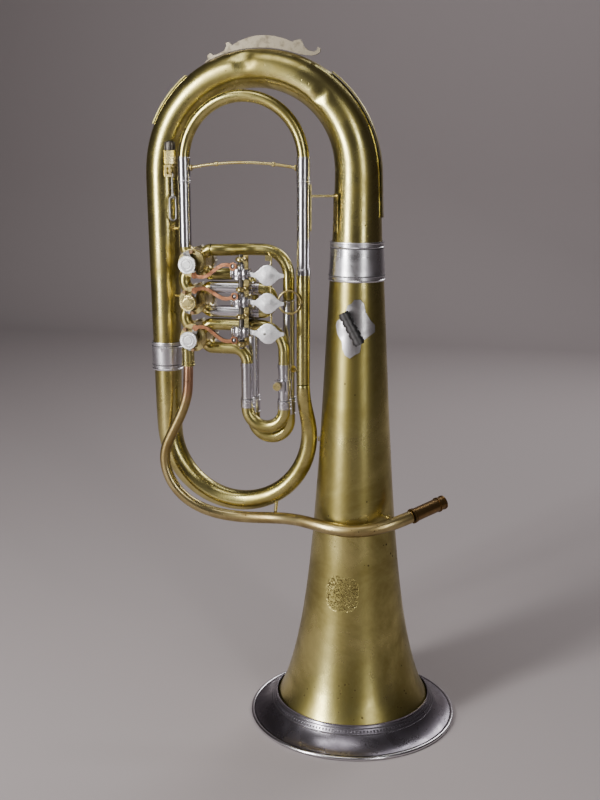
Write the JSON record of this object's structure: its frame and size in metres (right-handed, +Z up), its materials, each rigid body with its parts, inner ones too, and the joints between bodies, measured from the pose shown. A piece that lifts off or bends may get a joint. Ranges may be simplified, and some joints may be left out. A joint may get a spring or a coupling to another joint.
{
  "type": "baritone horn",
  "caption": "Oval wound baritone horn with rotary valves, upward bell, pull slides and side levers, standing on its bell.",
  "frame": {"origin": "middle of the bell mouth, in the plane the rim stands on", "axes": "+Z up along the bell axis to the main bow, -Y towards the player's levers, +X towards the mouthpiece receiver"},
  "size_m": [0.323, 0.216, 0.6909],
  "materials": {
    "brass": "aged bare brass, satin with brown patina",
    "nickel": "dull nickel silver",
    "copper": "worn red copper",
    "steel": "dull steel",
    "dark_steel": "blackened steel",
    "cork": "cork"
  },
  "bodies": {
    "horn": {"bell_flare": "brass", "bell_garland": "nickel", "tube_ferrules": "nickel", "main_bow": "brass", "guard_strip": "brass", "crest_plate": "nickel", "bottom_bow": "brass", "inner_leg": "brass", "tuning_sleeves": "nickel", "slide_sleeves": "nickel", "casing_1": "brass", "casing_2": "brass", "casing_3": "brass", "valve_caps": "brass", "stop_bumpers": "cork", "knuckle_tubes": "brass", "first_branches": "brass", "third_branches": "brass", "clock_springs": "steel", "lever_axle": "dark_steel", "lever_carriage": "brass", "finger_ring": "brass", "lead_socket": "brass", "lead_pipe": "copper", "receiver": "brass", "shield_mount": "nickel", "lyre_box": "brass", "slide_clamp": "nickel", "tube_braces": "brass"},
    "tuning_slide": {"tuning_crook": "brass", "tuning_legs": "nickel", "tuning_brace": "brass"},
    "first_slide": {"first_crook": "brass", "first_legs": "nickel"},
    "second_slide": {"second_crook": "brass", "second_legs": "nickel"},
    "third_slide": {"third_crook": "brass", "third_legs": "nickel"},
    "lyre_screw": {"lyre_screw": "dark_steel"},
    "strap_ring": {"strap_ring": "steel"},
    "clamp_screw": {"clamp_screw": "copper"},
    "valve_1": {"rotor_1": "brass", "stop_arm_1": "steel", "valve_knob_1": "nickel"},
    "key_1": {"lever_1": "nickel", "touch_1": "nickel"},
    "link_1": {"link_1": "copper"},
    "valve_2": {"rotor_2": "brass", "stop_arm_2": "steel", "valve_knob_2": "nickel"},
    "key_2": {"lever_2": "nickel", "touch_2": "nickel"},
    "link_2": {"link_2": "copper"},
    "valve_3": {"rotor_3": "brass", "stop_arm_3": "steel", "valve_knob_3": "nickel"},
    "key_3": {"lever_3": "nickel", "touch_3": "nickel"},
    "link_3": {"link_3": "copper"}
  },
  "joints": [
    {"name": "tuning_slide_pull", "type": "slide", "parent": "horn", "child": "tuning_slide", "axis": [0, 0, 1], "range_m": [0, 0.04]},
    {"name": "first_slide_pull", "type": "slide", "parent": "horn", "child": "first_slide", "axis": [0, 0, -1], "range_m": [0, 0.025]},
    {"name": "second_slide_pull", "type": "slide", "parent": "horn", "child": "second_slide", "axis": [1, 0, 0], "range_m": [0, 0.012]},
    {"name": "third_slide_pull", "type": "slide", "parent": "horn", "child": "third_slide", "axis": [0, 0, -1], "range_m": [0, 0.035]},
    {"name": "key_1_press", "type": "hinge", "parent": "horn", "child": "key_1", "pos_m": [-0.1046, -0.0475, 0.4123], "axis": [0, 0, 1], "range_deg": [0, 28.42], "stiffness_Nm_per_rad": 0.03, "springref_deg": -57.3},
    {"name": "key_2_press", "type": "hinge", "parent": "horn", "child": "key_2", "pos_m": [-0.1046, -0.0475, 0.4416], "axis": [0, 0, 1], "range_deg": [0, 19.49], "stiffness_Nm_per_rad": 0.03, "springref_deg": -57.3},
    {"name": "key_3_press", "type": "hinge", "parent": "horn", "child": "key_3", "pos_m": [-0.1046, -0.0475, 0.4681], "axis": [0, 0, 1], "range_deg": [0, 30.48], "stiffness_Nm_per_rad": 0.03, "springref_deg": -57.3},
    {"name": "valve_1_turn", "type": "hinge", "parent": "horn", "child": "valve_1", "pos_m": [-0.1545, -0.028, 0.4035], "axis": [0, 1, 0], "range_deg": [0, 90]},
    {"name": "valve_2_turn", "type": "hinge", "parent": "horn", "child": "valve_2", "pos_m": [-0.1545, -0.028, 0.4401], "axis": [0, 1, 0], "range_deg": [0, 90]},
    {"name": "valve_3_turn", "type": "hinge", "parent": "horn", "child": "valve_3", "pos_m": [-0.1545, -0.028, 0.4767], "axis": [0, 1, 0], "range_deg": [-90, 0]},
    {"name": "link_1_swing", "type": "hinge", "parent": "horn", "child": "link_1", "pos_m": [-0.1046, -0.0475, 0.42366], "axis": [0, 1, 0], "range_deg": [-21.22, 0]},
    {"name": "link_2_swing", "type": "hinge", "parent": "horn", "child": "link_2", "pos_m": [-0.1046, -0.0475, 0.46026], "axis": [0, 1, 0], "range_deg": [-21.22, 0]},
    {"name": "link_3_swing", "type": "hinge", "parent": "horn", "child": "link_3", "pos_m": [-0.1046, -0.0475, 0.45654], "axis": [0, 1, 0], "range_deg": [0, 21.22]},
    {"name": "lyre_screw_turn", "type": "hinge", "parent": "horn", "child": "lyre_screw", "pos_m": [-0.18283, -0.02087, 0.584], "axis": [0, 0, 1], "continuous": true},
    {"name": "strap_ring_swing", "type": "hinge", "parent": "horn", "child": "strap_ring", "pos_m": [-0.1823, -0.01752, 0.5594], "axis": [0.809, 0.5878, 0], "range_deg": [-14, 5]},
    {"name": "clamp_screw_turn", "type": "hinge", "parent": "horn", "child": "clamp_screw", "pos_m": [-0.0713, -0.028, 0.357], "axis": [0, -1, 0], "continuous": true}
  ],
  "couplings": [
    {"joint": "valve_1_turn", "follows": "key_1_press", "ratio": 3.1666},
    {"joint": "valve_2_turn", "follows": "key_2_press", "ratio": 4.6173},
    {"joint": "valve_3_turn", "follows": "key_3_press", "ratio": -2.9527},
    {"joint": "link_1_swing", "follows": "key_1_press", "ratio": -0.74607},
    {"joint": "link_2_swing", "follows": "key_2_press", "ratio": -1.0878},
    {"joint": "link_3_swing", "follows": "key_3_press", "ratio": 0.69567}
  ]
}
